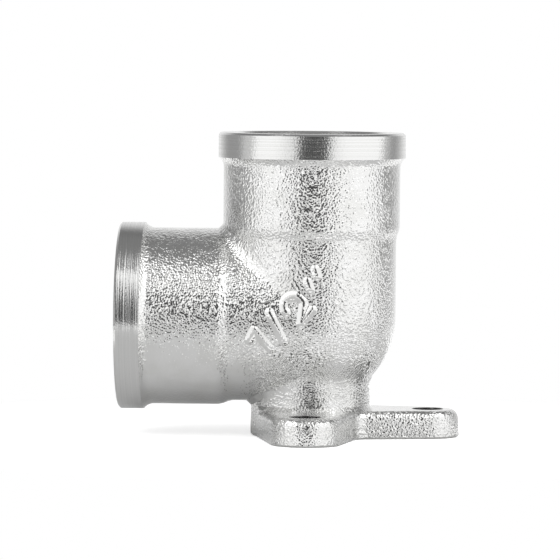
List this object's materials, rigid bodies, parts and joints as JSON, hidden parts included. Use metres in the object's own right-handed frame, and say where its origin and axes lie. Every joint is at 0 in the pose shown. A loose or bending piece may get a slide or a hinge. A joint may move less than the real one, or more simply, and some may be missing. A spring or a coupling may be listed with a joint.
{
  "type": "wall plate elbow",
  "caption": "Forged pipe elbow with two threaded sockets at a right angle, on a foot plate with drilled ears that screws to a wall.",
  "frame": {"origin": "where the outlet's axis meets the wall face of the plate", "axes": "+Z along the outlet, away from the wall; the inlet opens towards -X; the plate's paired ears lie along Y"},
  "size_m": [0.0492, 0.0432, 0.0437],
  "materials": {
    "plated_brass": "nickel plated over a blasted forging, with bright turned collars"
  },
  "bodies": {
    "root": {"elbow_body": "plated_brass"}
  },
  "joints": []
}
